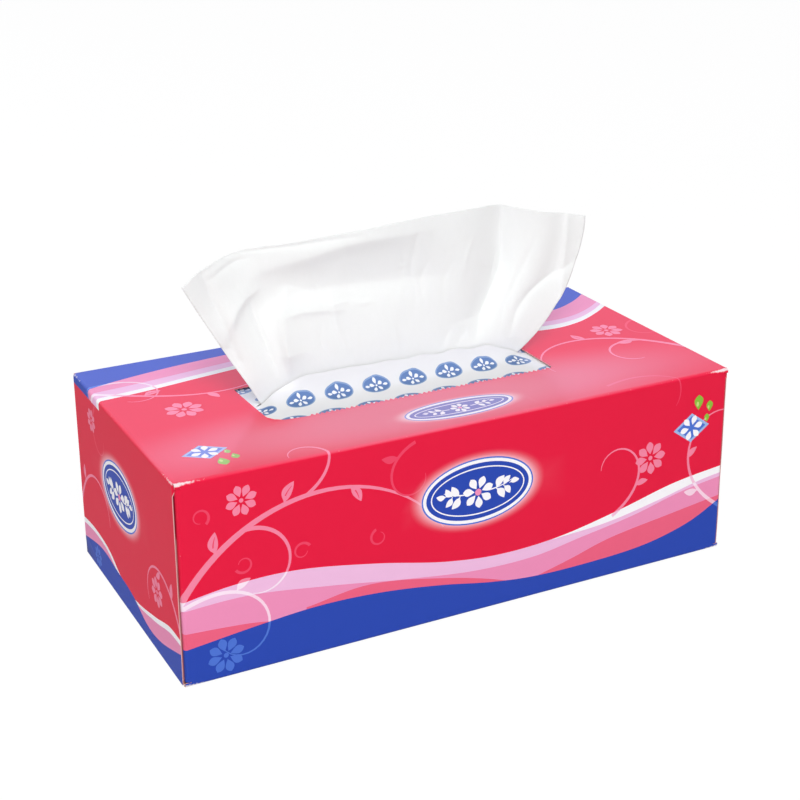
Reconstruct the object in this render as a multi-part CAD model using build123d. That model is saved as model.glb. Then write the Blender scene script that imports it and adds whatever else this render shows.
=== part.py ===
from build123d import *
import os

# A carton of facial tissues with its top sheet drawn up through the slit. Millimetres.
# The origin is the centre of the base, +X runs along the long side, -Y is the front and +Z is up.

# Carton, one die-cut sheet of coated paperboard
carton_length = 230.0
carton_width = 117.0
carton_height = 78.0
board_thickness = 0.45
fold_radius = 1.3
score_margin = 0.6
seam_clearance = 0.3
glue_flap_height = 16.0
outer_flap_relief = 1.4
outer_flap_floor_gap = 0.5
inner_flap_relief = 2.0
inner_flap_height = 57.0
dust_flap_depth = 44.0
dust_flap_relief = 2.0
dust_flap_corner = 9.0

# Torn-out opening in the top panel
opening_length = 120.0
opening_width = 38.0
opening_centre_x = -5.5
opening_centre_y = -7.0
opening_corner_radius = 6.0
clean_cut_length = 9.0
tooth_pitch = 2.0
tooth_depth = 0.55

# Film window, glued under the top panel
film_thickness = 0.2
film_margin_x = 15.0
film_margin_y = 12.0
glue_line = 0.05
slit_end_margin = 2.0
slit_gap = 1.3
lip_margin = 0.35
lip_height = 8.0

# Sheets: each is folded once across its width, half in one neighbour and half in the other
sheet_thickness = 0.3
stack_end_clearance = 8.65
stack_side_clearance = 8.05
headspace = 11.1
stack_side_bulge = 1.5
layer_gap = 0.2
tail_bend_radius = 3.0

# The part of the top sheet that stands above the top panel
drawn_rise = 62.0
foot_clearance_left = 1.5
foot_clearance_right = 5.5
spread_left = 29.0
spread_right = 32.0
lean_depth = 5.0
fold_depth = 6.0
trim_overrun = 5.0

half_length = carton_length / 2
half_width = carton_width / 2
panel_underside = carton_height - board_thickness


def rounded_outline(points, corners, radius):
    """A closed outline of straight runs, rounded at the named corners."""
    outline = make_face(Polyline(points, close=True))
    for x, y in corners:
        corner = outline.vertices().sort_by_distance((x, y, 0))[0]
        outline = fillet(corner, radius)
    return outline


def folded_strip(near_leg, far_leg, plane, width):
    """One scored fold: two legs of board that meet at a rounded corner, which is the plane's origin."""
    inner_corner = (board_thickness, board_thickness)
    points = [
        (0, 0),
        (near_leg, 0),
        (near_leg, board_thickness),
        inner_corner,
        (board_thickness, far_leg),
        (0, far_leg),
    ]
    profile = rounded_outline(points, [(0, 0)], fold_radius)
    corner = profile.vertices().sort_by_distance((*inner_corner, 0))[0]
    profile = fillet(corner, fold_radius - board_thickness)
    return extrude(plane * profile, width / 2, both=True)


# Sleeve: four panels round the sheets. The bottom panel ends in the glue flap, which stands
# inside the back panel, and the back panel's cut edge stops just above that fold.
seam_height = fold_radius + seam_clearance
flap_outside = half_width - board_thickness
flap_inside = flap_outside - board_thickness
front_inside = board_thickness - half_width
outer_corners = [
    (flap_outside, 0),
    (half_width, carton_height),
    (-half_width, carton_height),
    (-half_width, 0),
]
outer_points = [(flap_outside, seam_height), (half_width, seam_height), *outer_corners[1:], outer_corners[0]]
inner_corners = [
    (flap_inside, board_thickness),
    (front_inside, board_thickness),
    (front_inside, panel_underside),
    (flap_outside, panel_underside),
]
inner_points = [*inner_corners, (flap_outside, glue_flap_height), (flap_inside, glue_flap_height)]
sleeve_half_length = half_length - 2 * board_thickness - fold_radius - score_margin
sleeve_profile = rounded_outline(outer_points, outer_corners, fold_radius) - rounded_outline(
    inner_points, inner_corners, fold_radius - board_thickness
)
sleeve = extrude(Plane.YZ * sleeve_profile, sleeve_half_length, both=True)


# End closures, glued shut: dust flaps from the front and back panels, an inner flap from the
# bottom panel, and over them the printed outer flap from the top panel.
def end_closure():
    score_leg = fold_radius + score_margin
    top_corner = Plane((half_length, 0, carton_height), x_dir=(-1, 0, 0), z_dir=(0, -1, 0))
    outer_flap = folded_strip(
        score_leg + 2 * board_thickness,
        carton_height - outer_flap_floor_gap,
        top_corner,
        carton_width - 2 * outer_flap_relief,
    )
    bottom_corner = Plane((half_length - board_thickness, 0, 0), x_dir=(-1, 0, 0), z_dir=(0, 1, 0))
    inner_flap = folded_strip(
        score_leg + board_thickness,
        inner_flap_height,
        bottom_corner,
        carton_width - 2 * inner_flap_relief,
    )
    flaps = [outer_flap, inner_flap]
    dust_x = half_length - 2 * board_thickness
    for side in (-1, 1):
        corner = Plane(
            (dust_x, side * half_width, carton_height / 2), x_dir=(-1, 0, 0), z_dir=(0, 0, side)
        )
        dust_flap = folded_strip(
            score_leg, dust_flap_depth, corner, carton_height - 2 * dust_flap_relief
        )
        free_end = dust_flap.faces().sort_by(Axis.Y)[0 if side == 1 else -1]
        dust_flap = chamfer(free_end.edges().filter_by(Axis.X), dust_flap_corner)
        flaps.append(dust_flap)
    return flaps


# Opening: a clean cut at the left, where the panel is lifted, and perforation teeth elsewhere.
def toothed_run(start, end, inward):
    """Points of a torn perforation from start to end, its teeth pointing inward."""
    run = Vector(end) - Vector(start)
    teeth = max(1, round(run.length / tooth_pitch))
    points = []
    for tooth in range(teeth):
        points.append(Vector(start) + run * (tooth / teeth))
        points.append(Vector(start) + run * ((tooth + 1 / 2) / teeth) + Vector(inward) * tooth_depth)
    return points


opening_left = opening_centre_x - opening_length / 2
opening_right = opening_centre_x + opening_length / 2
opening_front = opening_centre_y - opening_width / 2
opening_back = opening_centre_y + opening_width / 2
teeth_start = opening_left + opening_corner_radius + clean_cut_length
opening_points = [Vector(opening_left, opening_front)]
opening_points += toothed_run((teeth_start, opening_front), (opening_right, opening_front), (0, 1))
opening_points += toothed_run((opening_right, opening_front), (opening_right, opening_back), (-1, 0))
opening_points += toothed_run((opening_right, opening_back), (opening_left, opening_back), (0, -1))
opening_points.append(Vector(opening_left, opening_back))
opening_outline = rounded_outline(
    opening_points, [(opening_left, opening_front)], opening_corner_radius
)
opening_cut = extrude(
    Plane.XY.offset(panel_underside - board_thickness) * opening_outline, 3 * board_thickness
)

closure = end_closure()
carton = sleeve + closure + [mirror(flap, about=Plane.YZ) for flap in closure] - opening_cut

# Film window: a flat sheet with a long slit, whose two lips stand up against the drawn sheet.
film_top = panel_underside - glue_line
film_underside = film_top - film_thickness
slit_y = opening_centre_y
slit_left = opening_left + slit_end_margin
slit_right = opening_right - slit_end_margin
slit_length = slit_right - slit_left
lip_run = (opening_width - slit_gap) / 2 - lip_margin
lip_station_shares = (0, 0.04, 0.1, 0.2, 0.35, 0.5, 0.65, 0.8, 0.9, 0.96, 1)


def lip_curve(height, lift, side):
    """Edge of a cut through a lip: flat where it leaves the window, and rising to the slit."""
    near = slit_y + side * (slit_gap / 2 + lip_run)
    step = -side * lip_run / 4
    return Bezier(
        (near, height),
        (near + step, height),
        (near + 2 * step, height),
        (near + 3 * step, height),
        (near + 4 * step, height + lift),
    )


def lip(side):
    sections = []
    for share in lip_station_shares:
        lift = lip_height * (1 - abs(2 * share - 1) ** 4) ** 1.5
        lower = lip_curve(film_underside, lift, side)
        upper = lip_curve(film_top, lift, side)
        outline = [lower, Line(lower @ 1, upper @ 1), upper, Line(upper @ 0, lower @ 0)]
        sections.append(Plane.YZ.offset(slit_left + slit_length * share) * make_face(outline))
    return loft(sections, ruled=True)


film_length = opening_length + 2 * film_margin_x
film_width = opening_width + 2 * film_margin_y
lip_window_width = slit_gap + 2 * lip_run
window = Plane.XY.offset(film_underside) * (
    Pos(opening_centre_x, opening_centre_y) * Rectangle(film_length, film_width)
    - Pos(opening_centre_x, slit_y) * Rectangle(slit_length, lip_window_width)
)
slit_film = extrude(window, film_thickness) + lip(-1) + lip(1)

# Stack: the folded edges bulge at the long sides, and the cut ends are flat.
sheet_length = carton_length - 2 * (3 * board_thickness + stack_end_clearance)
folded_width = carton_width - 2 * (board_thickness + stack_side_clearance)
sheet_width = 2 * folded_width
stack_half = folded_width / 2
stack_base = board_thickness
stack_top = panel_underside - headspace
stack_side = ThreePointArc(
    (stack_half - stack_side_bulge, stack_base),
    (stack_half, (stack_base + stack_top) / 2),
    (stack_half - stack_side_bulge, stack_top),
)
stack_outline = [
    stack_side,
    Line(stack_side @ 1, (stack_side_bulge - stack_half, stack_top)),
    mirror(stack_side, about=Plane.YZ),
    Line((stack_side_bulge - stack_half, stack_base), stack_side @ 0),
]
tissue_stack = extrude(Plane.YZ * make_face(stack_outline), sheet_length / 2, both=True)

# Tail of the drawn sheet: one half lies back over the stack, turns at its back edge and lies
# folded under itself, and the other half bends up to the slit.
foot_left = slit_left + foot_clearance_left
foot_right = slit_right - foot_clearance_right
foot_width = foot_right - foot_left
foot_x = (foot_left + foot_right) / 2
half_sheet = sheet_thickness / 2
under_layer = stack_top + layer_gap
upper_layer = under_layer + sheet_thickness + layer_gap
turn_y = stack_half - stack_side_bulge
turn_radius = sheet_thickness + layer_gap / 2
bend_outer = tail_bend_radius + sheet_thickness
bend_y = slit_y - half_sheet + bend_outer
bend_z = upper_layer + bend_outer
rise_above_stack = carton_height + drawn_rise - bend_z
under_length = sheet_width - rise_above_stack - (turn_y - bend_y) - bend_outer
bend_ring = Circle(bend_outer) - Circle(tail_bend_radius)
bend_quarter = Pos(-bend_outer / 2, -bend_outer / 2) * Rectangle(bend_outer, bend_outer)
bend = extrude(
    Plane((foot_x, bend_y, bend_z), x_dir=(0, 1, 0), z_dir=(1, 0, 0)) * (bend_ring & bend_quarter),
    foot_width / 2,
    both=True,
)
over_outline = Polyline(
    (foot_left, bend_y),
    (foot_right, bend_y),
    (sheet_length / 2, turn_y),
    (-sheet_length / 2, turn_y),
    close=True,
)
over_sheet = extrude(Plane.XY.offset(upper_layer) * make_face(over_outline), sheet_thickness)
turn_ring = Circle(turn_radius) - Circle(layer_gap / 2)
turn_half = Pos(turn_radius / 2, 0) * Rectangle(turn_radius, 2 * turn_radius)
turn_plane = Plane((0, turn_y, under_layer + turn_radius), x_dir=(0, 1, 0), z_dir=(1, 0, 0))
turn = extrude(turn_plane * (turn_ring & turn_half), sheet_length / 2, both=True)
under_sheet = Pos(0, turn_y - under_length / 2, under_layer + half_sheet) * Box(
    sheet_length, under_length, sheet_thickness
)

# Drawn sheet: level cuts through its folds, lofted from the bend upwards and trimmed along its
# top edge. Each fold has its place at the foot and at the top, its half width and its depth.
rise_shares = (0.04, 0.13, 0.22, 0.33, 0.45, 0.58, 0.7, 0.82, 0.94, 1.06)
lean_shares = (0, 0, 0.15, 0.5, 0.85, 1.0, 0.85, 0.5, 0.1, -0.4)
left_corner_share = 0.79
right_corner_share = 0.86
fold_shares = (
    (0.02, 0.02, 0.06, -0.8),
    (0.12, 0.18, 0.06, 0.8),
    (0.38, 0.42, 0.2, -0.7),
    (0.71, 0.79, 0.06, 1.0),
    (0.83, 0.88, 0.05, -0.7),
    (0.92, 0.96, 0.04, 0.5),
)
top_edge_shares = (
    (0, left_corner_share),
    (0.08, 0.92),
    (0.25, 0.97),
    (0.5, 1.0),
    (0.75, 0.975),
    (0.93, 0.91),
    (1, right_corner_share),
)
fold_start_share = 0.13
points_across = 25


def fold_offset(across, rise_share):
    """How far the folds push the sheet back at this place."""
    grown = max(0, rise_share - fold_start_share) / (1 - fold_start_share)
    offset = 0
    for foot_place, top_place, half_width_share, depth_share in fold_shares:
        place = foot_place + (top_place - foot_place) * grown
        offset += depth_share * 2 ** -(((across - place) / half_width_share) ** 2)
    return fold_depth * grown * offset


def level_cut(height, left, right, offsets):
    """A level cut through the sheet, one sheet thick."""
    count = len(offsets) - 1
    front = []
    back = []
    for i, offset in enumerate(offsets):
        x = left + (right - left) * i / count
        front.append((x, slit_y + offset - half_sheet))
        back.append((x, slit_y + offset + half_sheet))
    outline = [
        Spline(front),
        Line(front[-1], back[-1]),
        Spline(back[::-1]),
        Line(back[0], front[0]),
    ]
    return Plane.XY.offset(height) * make_face(outline)


level_offsets = [0] * points_across
cuts = [
    level_cut(bend_z, foot_left, foot_right, level_offsets),
    level_cut(film_underside, foot_left, foot_right, level_offsets),
]
for rise_share, lean_share in zip(rise_shares, lean_shares):
    left_share = rise_share / left_corner_share
    right_share = 1 - (1 - rise_share / right_corner_share) ** 2
    offsets = [
        lean_depth * lean_share + fold_offset(i / (points_across - 1), rise_share)
        for i in range(points_across)
    ]
    cuts.append(
        level_cut(
            carton_height + drawn_rise * rise_share,
            foot_left - spread_left * left_share,
            foot_right + spread_right * right_share,
            offsets,
        )
    )
top_left = foot_left - spread_left
top_width = foot_width + spread_left + spread_right
top_points = [
    (top_left + top_width * across, carton_height + drawn_rise * rise) for across, rise in top_edge_shares
]
trim_left = top_left - trim_overrun
trim_right = top_left + top_width + trim_overrun
trim_outline = [
    Spline(top_points),
    Line(top_points[-1], (trim_right, top_points[-1][1])),
    Line((trim_right, top_points[-1][1]), (trim_right, bend_z)),
    Line((trim_right, bend_z), (trim_left, bend_z)),
    Line((trim_left, bend_z), (trim_left, top_points[0][1])),
    Line((trim_left, top_points[0][1]), top_points[0]),
]
trim = extrude(Plane.XZ * make_face(trim_outline), half_width, both=True)
drawn = loft(cuts, ruled=True) & trim
pulled_tissue = drawn + bend + over_sheet + turn + under_sheet

nodes = {
    "carton": carton,
    "slit_film": slit_film,
    "tissue_stack": tissue_stack,
    "pulled_tissue": pulled_tissue,
}
os.makedirs("parts", exist_ok=True)
for name, shape in nodes.items():
    export_step(shape, f"parts/{name}.step")
    print(name, len(shape.solids()), round(shape.volume, 1))
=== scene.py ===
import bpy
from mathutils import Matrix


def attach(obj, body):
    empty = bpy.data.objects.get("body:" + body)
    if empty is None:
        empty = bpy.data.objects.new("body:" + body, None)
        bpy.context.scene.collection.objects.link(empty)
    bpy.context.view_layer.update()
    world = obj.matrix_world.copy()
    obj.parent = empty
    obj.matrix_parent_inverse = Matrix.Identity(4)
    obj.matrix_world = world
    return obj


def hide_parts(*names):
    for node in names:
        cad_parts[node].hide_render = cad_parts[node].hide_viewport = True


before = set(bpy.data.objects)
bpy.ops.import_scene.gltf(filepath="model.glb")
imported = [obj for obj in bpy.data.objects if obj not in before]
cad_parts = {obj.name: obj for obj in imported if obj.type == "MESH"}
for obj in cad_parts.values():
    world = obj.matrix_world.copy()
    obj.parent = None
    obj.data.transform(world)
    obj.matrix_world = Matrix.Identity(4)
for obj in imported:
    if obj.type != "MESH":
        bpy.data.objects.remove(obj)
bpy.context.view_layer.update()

import math
import random

import bpy
import numpy as np
from mathutils import Matrix, Vector
from mathutils.geometry import delaunay_2d_cdt

# Stack of tissues: soft crepe paper, folded in half and laid one fold in the next. It stands
# loose on the carton's floor, with the folds at the long sides and the cut ends at the short.
# The layers are one geometry tree, from the lowest to the highest, and stand for more real ones.
mm = 0.001
stack_length, stack_width = 210.0, 100.0
stack_base, stack_top = 0.45, 66.45
stack_side_bulge = 1.5
stack_sheets = 54
fold_fill = 0.93
fold_rounding = 0.48
sheet_slip = 0.35
slip_seeds = (3, 8)
paper_white = "F4F4F5"
crepe_height = 0.05


def linear(screen_colour):
    """A colour written as on screen, in linear light."""
    shares = [int(screen_colour[i : i + 2], 16) / 255 for i in (0, 2, 4)]
    return [s / 12.92 if s <= 0.04045 else ((s + 0.055) / 1.055) ** 2.4 for s in shares]


def put(tree, kind, inputs=None, **settings):
    """A node with its settings. An input is a plain value or the output that feeds it."""
    node = tree.nodes.new(kind)
    for name, value in settings.items():
        setattr(node, name, value)
    for name, value in (inputs or {}).items():
        if isinstance(value, bpy.types.NodeSocket):
            tree.links.new(value, node.inputs[name])
        else:
            node.inputs[name].default_value = value
    return node


def output(kind, inputs, **settings):
    """The first output of a new node, in the tree of the outputs that feed it."""
    feeding = [value for value in inputs.values() if isinstance(value, bpy.types.NodeSocket)]
    return put(feeding[0].id_data, kind, inputs, **settings).outputs[0]


def reckon(operation, *values):
    """A sum of plain values and outputs."""
    return output("ShaderNodeMath", dict(enumerate(values)), operation=operation)


def times(first, second):
    """Two vectors or colours, multiplied part by part."""
    return output("ShaderNodeVectorMath", {0: first, 1: second}, operation="MULTIPLY")


def noise(where, scale, detail, roughness=0.5):
    """Soft noise."""
    return output("ShaderNodeTexNoise", {
        "Vector": where, "Scale": scale, "Detail": detail, "Roughness": roughness})


def bumped(height, strength, depth):
    """The normals of a relief, its depth in millimetres."""
    return output("ShaderNodeBump", {
        "Strength": strength, "Distance": depth * mm, "Height": height})


def on_object(tree):
    """The place on the object."""
    return put(tree, "ShaderNodeTexCoord").outputs["Object"]


def ink_of(tree):
    """The colour that the mesh carries."""
    return put(tree, "ShaderNodeAttribute", attribute_name="ink").outputs["Color"]


def group(name, kind, inputs, outputs):
    """A node group with named sockets, and its input and output nodes."""
    tree = bpy.data.node_groups.new(name, kind)
    for label, socket, value in inputs:
        made = tree.interface.new_socket(
            name=label, in_out="INPUT", socket_type="NodeSocket" + socket)
        if value is not None:
            made.default_value = value
    for label, socket in outputs:
        tree.interface.new_socket(
            name=label, in_out="OUTPUT", socket_type="NodeSocket" + socket)
    return tree, put(tree, "NodeGroupInput"), put(tree, "NodeGroupOutput")


def surface(name):
    """A new material: its tree and its shader node."""
    made = bpy.data.materials.new(name)
    made.use_nodes = True
    return made, made.node_tree, made.node_tree.nodes["Principled BSDF"]


def feed(shader, **values):
    """Sets the shader's sockets, a name for each with _ for a space."""
    for name, value in values.items():
        socket = shader.inputs[name.replace("_", " ")]
        if isinstance(value, bpy.types.NodeSocket):
            shader.id_data.links.new(value, socket)
        else:
            socket.default_value = value


def in_scene(name, data):
    """A new object, put into the scene."""
    made = bpy.data.objects.new(name, data)
    bpy.context.scene.collection.objects.link(made)
    return made


def place(name, mesh, node):
    """A finished piece, which stands for a node of the frame."""
    piece = in_scene(name, mesh)
    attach(piece, "root")
    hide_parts(node)
    return piece


# Paper grain: long soft fibres with a fine tooth, as a height and a slight change of tone.
grain, grain_in, grain_out = group(
    "paper_grain",
    "ShaderNodeTree",
    (
        ("Place", "Vector", None),
        ("Stretch", "Vector", (1.0, 1.0, 1.0)),
        ("Fineness", "Float", 900.0),
        ("Tone Depth", "Float", 0.04),
    ),
    (("Height", "Float"), ("Tone", "Float")),
)
given = grain_in.outputs
fibres = noise(times(given["Place"], given["Stretch"]), given["Fineness"], 4.0, 0.6)
tooth = noise(given["Place"], reckon("MULTIPLY", given["Fineness"], 3.1), 2.0)
half = reckon("MULTIPLY", reckon("ADD", fibres, tooth), 0.5)
dip = reckon("SUBTRACT", half, 0.5)
tone = reckon("MULTIPLY_ADD", dip, given["Tone Depth"], 1.0)
grain.links.new(half, grain_out.inputs["Height"])
grain.links.new(tone, grain_out.inputs["Tone"])


def grained(where, stretch, fineness, depth):
    """The paper grain in a material: its height and its tone."""
    return put(where.id_data, "ShaderNodeGroup", {
        "Place": where, "Stretch": stretch, "Fineness": fineness, "Tone Depth": depth
    }, node_tree=grain).outputs[:2]


def tissue_material(name, colour):
    """Two-ply paper: matt and soft, with fine crepe across."""
    made, tree, shader = surface(name)
    where = on_object(tree)
    fibre_height, fibre_tone = grained(where, (1.0, 1.0, 0.35), 700.0, 0.05)
    crepe = noise(times(where, (0.12, 0.12, 1.0)), 2600.0, 3.0, 0.7)
    feed(
        shader,
        Base_Color=times(linear(colour), fibre_tone),
        Roughness=0.92, Specular_IOR_Level=0.2, Sheen_Weight=0.15, Sheen_Roughness=0.6,
        Normal=bumped(reckon("ADD", fibre_height, crepe), 0.35, crepe_height),
    )
    return made


stack_paper = tissue_material("stack_paper", paper_white)
stack_inputs = (
    ("Length", "Float", (stack_length - 2 * sheet_slip) * mm),
    ("Width", "Float", (stack_width - 2 * sheet_slip) * mm),
    ("Base", "Float", stack_base * mm),
    ("Height", "Float", (stack_top - stack_base) * mm),
    ("Sheets", "Int", stack_sheets),
    ("Bulge Share", "Float", 2 * stack_side_bulge / stack_width),
    ("Slip", "Float", sheet_slip * mm),
    ("Paper", "Material", stack_paper),
)
stack_tree, stack_in, stack_out = group(
    "sheets_in_a_stack", "GeometryNodeTree", stack_inputs, (("Geometry", "Geometry"),))
given = stack_in.outputs


def along(x=0.0, y=0.0, z=0.0):
    """A vector in the stack's tree."""
    return output("ShaderNodeCombineXYZ", {0: x, 1: y, 2: z})


pitch = reckon("DIVIDE", given["Height"], given["Sheets"])
fold_thickness = reckon("MULTIPLY", pitch, fold_fill)
half_length = reckon("MULTIPLY", given["Length"], 0.5)
levels = output("GeometryNodeMeshLine", {
    "Count": given["Sheets"],
    "Start Location": along(z=reckon("MULTIPLY_ADD", pitch, 0.5, given["Base"])),
    "Offset": along(z=pitch)})
fold_line = output("GeometryNodeCurvePrimitiveLine", {
    "Start": along(reckon("MULTIPLY", half_length, -1.0)), "End": along(half_length)})
section = output("GeometryNodeCurvePrimitiveQuadrilateral", {
    "Width": given["Width"], "Height": fold_thickness})
rounded = output("GeometryNodeFilletCurve", {
    "Curve": section, "Radius": reckon("MULTIPLY", fold_thickness, fold_rounding),
    "Count": 3}, mode="POLY")
one_sheet = output("GeometryNodeCurveToMesh", {
    "Curve": fold_line, "Profile Curve": rounded, "Fill Caps": True})
last = reckon("SUBTRACT", given["Sheets"], 1.0)
index = put(stack_tree, "GeometryNodeInputIndex").outputs[0]
from_middle = reckon("MULTIPLY_ADD", reckon("DIVIDE", index, last), 2.0, -1.0)
squared = reckon("POWER", reckon("ABSOLUTE", from_middle), 2.0)
drawn_in = reckon("MULTIPLY", squared, given["Bulge Share"])
sheets = output("GeometryNodeInstanceOnPoints", {
    "Points": levels, "Instance": one_sheet,
    "Scale": along(1.0, reckon("SUBTRACT", 1.0, drawn_in), 1.0)})
slip_back = reckon("MULTIPLY", given["Slip"], -1.0)
slips = [
    put(stack_tree, "FunctionNodeRandomValue", {
        "Min": slip_back, "Max": given["Slip"], "Seed": seed}, data_type="FLOAT").outputs[1]
    for seed in slip_seeds
]
slipped = output("GeometryNodeTranslateInstances", {
    "Instances": sheets, "Translation": along(*slips)})
real = output("GeometryNodeRealizeInstances", {"Geometry": slipped})
papered = output("GeometryNodeSetMaterial", {"Geometry": real, "Material": given["Paper"]})
stack_tree.links.new(papered, stack_out.inputs["Geometry"])

carrier = in_scene("stack_carrier", bpy.data.meshes.new("stack_carrier"))
growth = carrier.modifiers.new("sheets", "NODES")
growth.node_group = stack_tree
stack_values = {label: value for label, _, value in stack_inputs}
for item in stack_tree.interface.items_tree:
    if item.in_out == "INPUT":
        growth[item.identifier] = stack_values[item.name]
stack_mesh = bpy.data.meshes.new_from_object(
    carrier.evaluated_get(bpy.context.evaluated_depsgraph_get())
)
bpy.data.objects.remove(carrier)
place("folded_stack", stack_mesh, "tissue_stack")

# Film window: one piece of clear soft plastic, glued under the top panel all round the opening.
# It is cut by a long slit, and the drawn sheet has pulled the slit's two lips up. Small blue
# blossoms are printed on it in staggered rows.
carton_length, carton_width, carton_height = 230.0, 117.0, 78.0
board_thickness = 0.45
opening_length, opening_width = 120.0, 38.0
opening_x, opening_y = -5.5, -7.0
film_thickness = 0.2
film_margin_x, film_margin_y = 15.0, 12.0
film_top = carton_height - board_thickness - 0.05
slit_margin = 2.0
slit_left = opening_x - opening_length / 2 + slit_margin
slit_right = opening_x + opening_length / 2 - slit_margin
slit_gap = 1.3
lip_run, lip_height = 18.0, 8.0
motif_pitch, motif_row_pitch = 15.7, 11.7
motif_first = (-1.4, -13.2)
film_inks = {"clear": "ECECEC", "blue": "4A70A6", "rim": "7C9AC2", "white": "F6F8FC"}


def cut_fields(outline, holes, fields, lines):
    """Cuts a flat sheet along its holes, its printed fields and its lines. Gives the points,
    the triangles and, for each triangle, the numbers of the fields that it lies in."""
    points, edges, faces = [], [], []
    for shape in [outline, *holes, *fields]:
        shape = [tuple(point) for point in shape]
        turned = sum(a[0] * b[1] - b[0] * a[1] for a, b in zip(shape, shape[1:] + shape[:1]))
        faces.append(list(range(len(points), len(points) + len(shape))))
        points += shape if turned > 0 else shape[::-1]
    for line in lines:
        edges += [(len(points) + i, len(points) + i + 1) for i in range(len(line) - 1)]
        points += [tuple(point) for point in line]
    cut = delaunay_2d_cdt([Vector(p) for p in points], edges, faces, 1, 1e-4, True)
    kept, inside = [], []
    for triangle, owners in zip(cut[2], cut[5]):
        if 0 in owners and not any(1 <= owner <= len(holes) for owner in owners):
            kept.append(triangle)
            inside.append([owner - 1 - len(holes) for owner in owners if owner > len(holes)])
    used = sorted({corner for triangle in kept for corner in triangle})
    number = {old: new for new, old in enumerate(used)}
    flat = np.array([cut[0][i][:] for i in used])
    return flat, np.array([[number[c] for c in t] for t in kept]), inside


def two_skins(name, flat, triangles, inks, outer, inner, materials, colours, extra=None,
              bare_and_edge_shade=("FFFFFF", "FFFFFF", "FFFFFF")):
    """A thin sheet from its flat pattern: the outer skin with its inks, the inner skin, and the
    cut edge round them. Inner skin and cut edge take the second material and the last three
    colours: the inner skin's, and the edge's at its outer and its inner side, where a dark inner
    side is painted shade."""
    count = len(flat)
    corners = outer[triangles]
    outward = (outer - inner)[triangles[:, 0]]
    normals = np.cross(corners[:, 1] - corners[:, 0], corners[:, 2] - corners[:, 0])
    wrong = np.einsum("ij,ij->i", normals, outward) < 0
    triangles = np.where(wrong[:, None], triangles[:, ::-1], triangles)
    sides = np.concatenate([triangles[:, [0, 1]], triangles[:, [1, 2]], triangles[:, [2, 0]]])
    known = {(a, b) for a, b in sides.tolist()}
    rim = [(a, b) for a, b in sides.tolist() if (b, a) not in known]
    faces = triangles.tolist() + (triangles[:, ::-1] + count).tolist()
    faces += [(b, a, a + count, b + count) for a, b in rim]
    mesh = bpy.data.meshes.new(name)
    mesh.from_pydata((np.concatenate([outer, inner]) * mm).tolist(), [], faces)
    for material in materials:
        mesh.materials.append(material)
    printed = len(triangles)
    mesh.polygons.foreach_set("material_index", [0] * printed + [1] * (len(faces) - printed))
    mesh.polygons.foreach_set("use_smooth", [True] * len(faces))
    mesh.set_sharp_from_angle(angle=math.radians(38))
    ink = mesh.color_attributes.new("ink", "FLOAT_COLOR", "CORNER")
    shades = np.ones((len(mesh.loops), 4))
    vertex = np.zeros(len(mesh.loops), int)
    mesh.loops.foreach_get("vertex_index", vertex)
    first_loops = np.repeat(colours[inks], 3, axis=0)
    shades[:, :3] = linear(bare_and_edge_shade[0])
    # Each cut edge fades from its outer colour to its inner one; a dark inner colour is painted
    # shade.
    shades[-4 * len(rim) :, :3] = [linear(bare_and_edge_shade[side]) for side in (1, 1, 2, 2)] * len(rim)
    shades[: len(first_loops), :3] = first_loops
    if extra:
        shades[: len(first_loops), :3] = extra(
            first_loops, flat[vertex[: len(first_loops)] % count], np.repeat(inks, 3)
        )
    ink.data.foreach_set("color", shades.ravel())
    pattern = mesh.uv_layers.new(name="flat_pattern")
    pattern.data.foreach_set("uv", (flat[vertex % count] * mm).ravel())
    return mesh


def rectangle(left, front, right, back):
    """A rectangle's corners."""
    return [(left, front), (right, front), (right, back), (left, back)]


def oval(centre, width, height, points=40):
    """An oval outline."""
    turns = [2 * math.pi * i / points for i in range(points)]
    return [
        (centre[0] + width / 2 * math.cos(a), centre[1] + height / 2 * math.sin(a)) for a in turns
    ]


def set_at(centre, heading, shape):
    """A shape turned to a heading and moved to its centre."""
    c, s = math.cos(heading), math.sin(heading)
    return [(centre[0] + c * a - s * b, centre[1] + s * a + c * b) for a, b in shape]


def petal(centre, heading, start, length, width, points=9):
    """A rounded petal that grows from start to start + length from a centre."""
    side = []
    for i in range(points):
        t = i / (points - 1)
        side.append((start + length * t, width / 2 * math.sin(math.pi * t**1.35) ** 0.8))
    return set_at(centre, heading, side + [(a, -b) for a, b in side[-2:0:-1]])


def blossom(centre, size, petals, turn=0.0):
    """Rounded petals round a centre, and the dot in it."""
    made = [
        petal(centre, turn + 2 * math.pi * i / petals, size * 0.12, size * 0.38, size * 0.24)
        for i in range(petals)
    ]
    return made + [oval(centre, size * 0.14, size * 0.14, 10)]


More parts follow.
